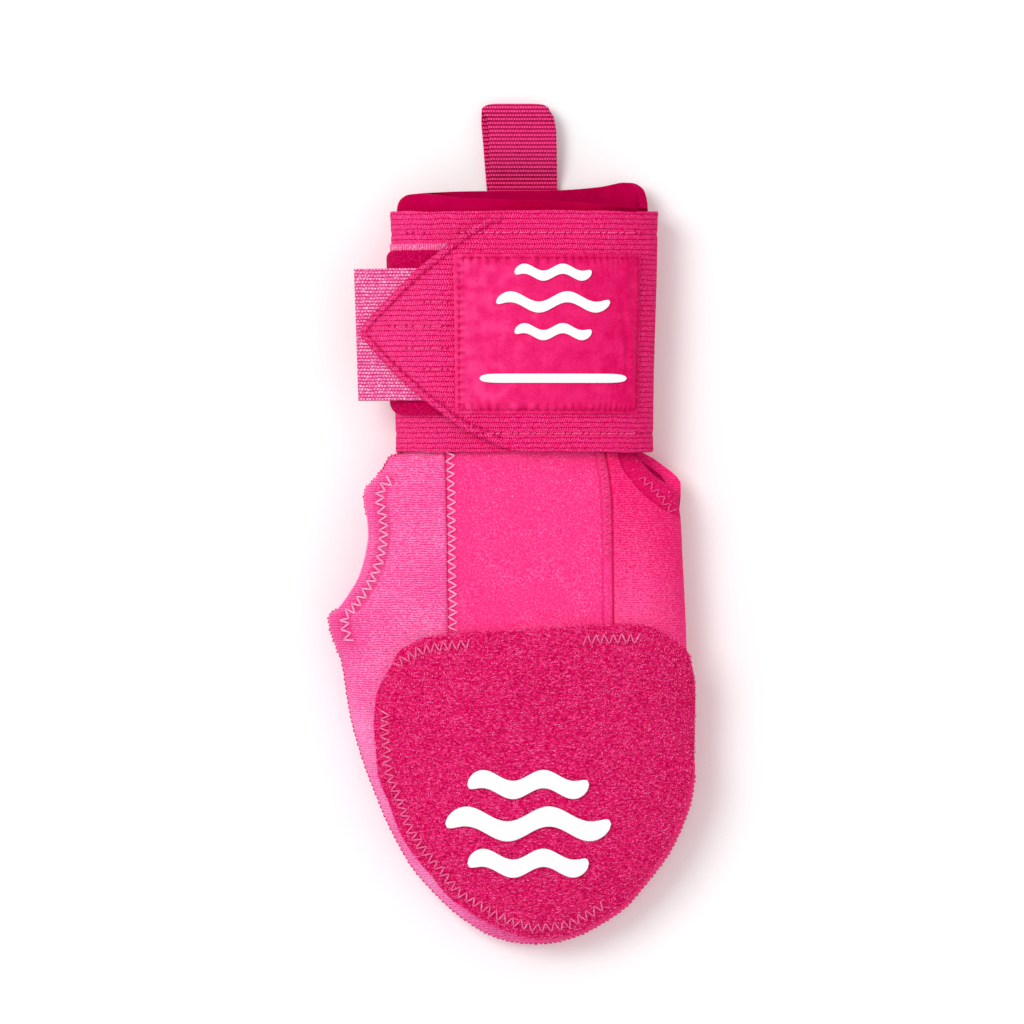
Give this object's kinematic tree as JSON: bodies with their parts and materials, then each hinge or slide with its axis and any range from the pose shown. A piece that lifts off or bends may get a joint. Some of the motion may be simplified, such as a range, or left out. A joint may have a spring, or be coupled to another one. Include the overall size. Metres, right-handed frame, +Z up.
{
  "type": "sliding mitt",
  "caption": "Padded protective hand mitt with a closed finger pocket, thumb opening, wide elastic wrist strap with hook end and a webbing pull loop.",
  "frame": {"origin": "bottom centre of the bounding box, on the surface that the mitt lies on", "axes": "+Y towards the pull loop and -Y towards the fingertips, +Z up from the palm to the back of the hand, -X towards the thumb side"},
  "size_m": [0.1356, 0.312, 0.0381],
  "materials": {
    "jersey_neoprene": "fine ribbed jersey",
    "brushed_fabric": "soft brushed",
    "terry": "looped terry",
    "cuff_lining": "smooth knit",
    "knitted_elastic": "ribbed elastic",
    "loop_pile": "fuzzy pile",
    "hook_tape": "dotted hook tape",
    "satin": "smooth satin",
    "webbing": "ribbed webbing",
    "white_rubber": "smooth matt"
  },
  "bodies": {
    "root": {"palm_shell": "jersey_neoprene", "thumb_side_panel": "jersey_neoprene", "back_centre_panel": "brushed_fabric", "little_finger_side_panel": "jersey_neoprene", "little_finger_opening_hem": "jersey_neoprene", "finger_pocket_top": "jersey_neoprene", "finger_pad": "terry", "cuff": "cuff_lining", "wrist_strap": "knitted_elastic", "strap_loop_patch": "loop_pile", "strap_hook_tab": "hook_tape", "strap_label": "satin", "pull_loop": "webbing", "pad_wave_1": "white_rubber", "pad_wave_2": "white_rubber", "pad_wave_3": "white_rubber", "label_wave_1": "white_rubber", "label_wave_2": "white_rubber", "label_wave_3": "white_rubber", "label_bar": "white_rubber"}
  },
  "joints": []
}
